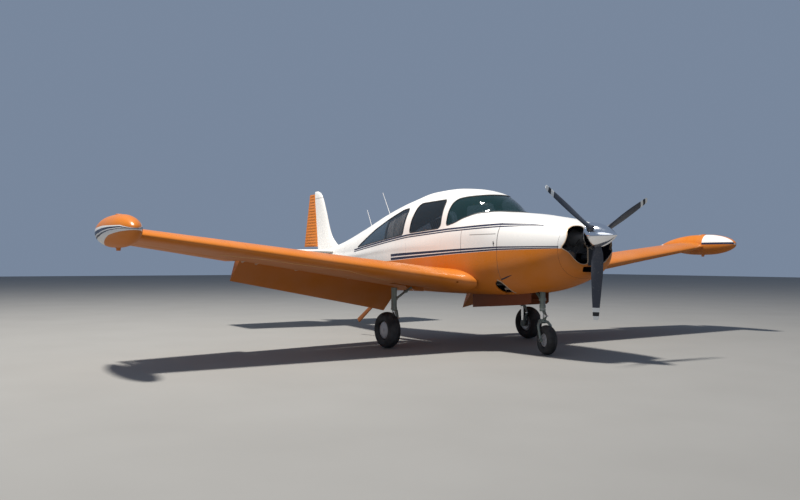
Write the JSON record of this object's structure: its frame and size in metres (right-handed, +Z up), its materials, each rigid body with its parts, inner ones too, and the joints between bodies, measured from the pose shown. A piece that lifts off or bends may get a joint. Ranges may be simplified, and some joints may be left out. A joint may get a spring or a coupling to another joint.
{
  "type": "light aircraft",
  "caption": "Low-wing, single-engine light aircraft with a tricycle undercarriage, wing-tip fuel tanks, a glazed cabin and jointed control surfaces.",
  "frame": {"origin": "on the ground under the centre of the aircraft's outer box", "axes": "+X towards the nose, +Y to port (the pilot's left), +Z up"},
  "size_m": [8.24, 10.69, 2.62],
  "materials": {
    "white_paint": "gloss white enamel",
    "orange_paint": "gloss orange enamel",
    "window": "clear greenish blue",
    "bare_alloy": "satin",
    "dark_trim": "matte dark grey",
    "tyre": "matte black",
    "strut_paint": "light grey green paint",
    "polished": "polished",
    "blade_grey": "satin grey, white and black tips",
    "engine": "rough cast",
    "upholstery": "tan cloth",
    "curtain_cloth": "grey pleated cloth",
    "exhaust_steel": "heat stained"
  },
  "bodies": {
    "airframe": {"cowl_upper": "white_paint", "cowl_lower": "orange_paint", "firewall": "bare_alloy", "cabin_upper": "white_paint", "cabin_lower": "orange_paint", "windscreen": "window", "side_window_right": "window", "rear_window_right": "window", "rear_window_left": "window", "tailcone": "white_paint", "wing_left": "orange_paint", "tip_tank_left": "orange_paint", "wing_right": "orange_paint", "tip_tank_right": "orange_paint", "stabilizer": "white_paint", "fin": "white_paint", "engine_block": "engine", "exhaust_left": "exhaust_steel", "exhaust_right": "exhaust_steel", "main_leg_left": "strut_paint", "main_leg_right": "strut_paint", "nose_door_left": "orange_paint", "nose_door_right": "orange_paint", "boarding_step": "orange_paint", "nose_leg": "strut_paint", "cabin_floor": "dark_trim", "instrument_panel": "dark_trim", "seat_front_left": "upholstery", "seat_front_right": "upholstery", "seat_rear": "upholstery", "control_wheel_left": "dark_trim", "control_wheel_right": "dark_trim", "curtain_left": "curtain_cloth", "curtain_right": "curtain_cloth", "antenna_front": "white_paint", "antenna_rear": "white_paint"},
    "door": {"cabin_door": "white_paint", "door_window": "window"},
    "flap_left": {"flap_left": "orange_paint"},
    "flap_right": {"flap_right": "orange_paint"},
    "aileron_left": {"aileron_left": "orange_paint"},
    "aileron_right": {"aileron_right": "orange_paint"},
    "elevator": {"elevator": "white_paint"},
    "rudder": {"rudder": "orange_paint"},
    "propeller": {"spinner": "polished", "blade_1": "blade_grey", "blade_2": "blade_grey", "blade_3": "blade_grey"},
    "main_wheel_left": {"main_tyre_left": "tyre", "main_rim_left": "bare_alloy"},
    "main_wheel_right": {"main_tyre_right": "tyre", "main_rim_right": "bare_alloy"},
    "nose_fork": {"nose_fork": "strut_paint"},
    "nose_wheel": {"nose_tyre": "tyre", "nose_rim": "bare_alloy"}
  },
  "joints": [
    {"name": "propeller_spin", "type": "hinge", "parent": "airframe", "child": "propeller", "pos_m": [3.812, 0, 1.544], "axis": [1, 0, 0], "continuous": true},
    {"name": "main_wheel_left_spin", "type": "hinge", "parent": "airframe", "child": "main_wheel_left", "pos_m": [1.124, 1.34, 0.255], "axis": [0, 1, 0], "continuous": true},
    {"name": "main_wheel_right_spin", "type": "hinge", "parent": "airframe", "child": "main_wheel_right", "pos_m": [1.124, -1.34, 0.255], "axis": [0, 1, 0], "continuous": true},
    {"name": "nose_steer", "type": "hinge", "parent": "airframe", "child": "nose_fork", "pos_m": [2.845, 0, 0.5], "axis": [0, 0, 1], "range_deg": [-11, 39]},
    {"name": "nose_wheel_spin", "type": "hinge", "parent": "nose_fork", "child": "nose_wheel", "pos_m": [2.95173, -0.02661, 0.195], "axis": [0.2419, 0.9703, 0], "continuous": true},
    {"name": "flap_left_hinge", "type": "hinge", "parent": "airframe", "child": "flap_left", "pos_m": [0.44039, 0.75, 0.91288], "axis": [0.0955, 0.9862, 0.1355], "range_deg": [0, 45]},
    {"name": "flap_right_hinge", "type": "hinge", "parent": "airframe", "child": "flap_right", "pos_m": [0.44039, -0.75, 0.91288], "axis": [-0.0955, 0.9862, -0.1355], "range_deg": [0, 45]},
    {"name": "aileron_left_hinge", "type": "hinge", "parent": "airframe", "child": "aileron_left", "pos_m": [0.69925, 3.424, 1.28021], "axis": [0.0944, 0.9867, 0.1323], "range_deg": [-20, 20]},
    {"name": "aileron_right_hinge", "type": "hinge", "parent": "airframe", "child": "aileron_right", "pos_m": [0.69925, -3.424, 1.28021], "axis": [-0.0944, 0.9867, -0.1323], "range_deg": [-20, 20]},
    {"name": "elevator_hinge", "type": "hinge", "parent": "airframe", "child": "elevator", "pos_m": [-3.583, 0, 1.416], "axis": [0, 1, 0], "range_deg": [-20, 25]},
    {"name": "rudder_hinge", "type": "hinge", "parent": "airframe", "child": "rudder", "pos_m": [-3.508, 0, 1.52], "axis": [-0.1571, 0, 0.9876], "range_deg": [-22, 22]},
    {"name": "door_hinge", "type": "hinge", "parent": "airframe", "child": "door", "pos_m": [1.356, 0.6, 1.7], "axis": [0, 0, -1], "range_deg": [0, 70]}
  ],
  "couplings": [
    {"joint": "flap_right_hinge", "follows": "flap_left_hinge", "ratio": 1},
    {"joint": "aileron_right_hinge", "follows": "aileron_left_hinge", "ratio": -1}
  ]
}
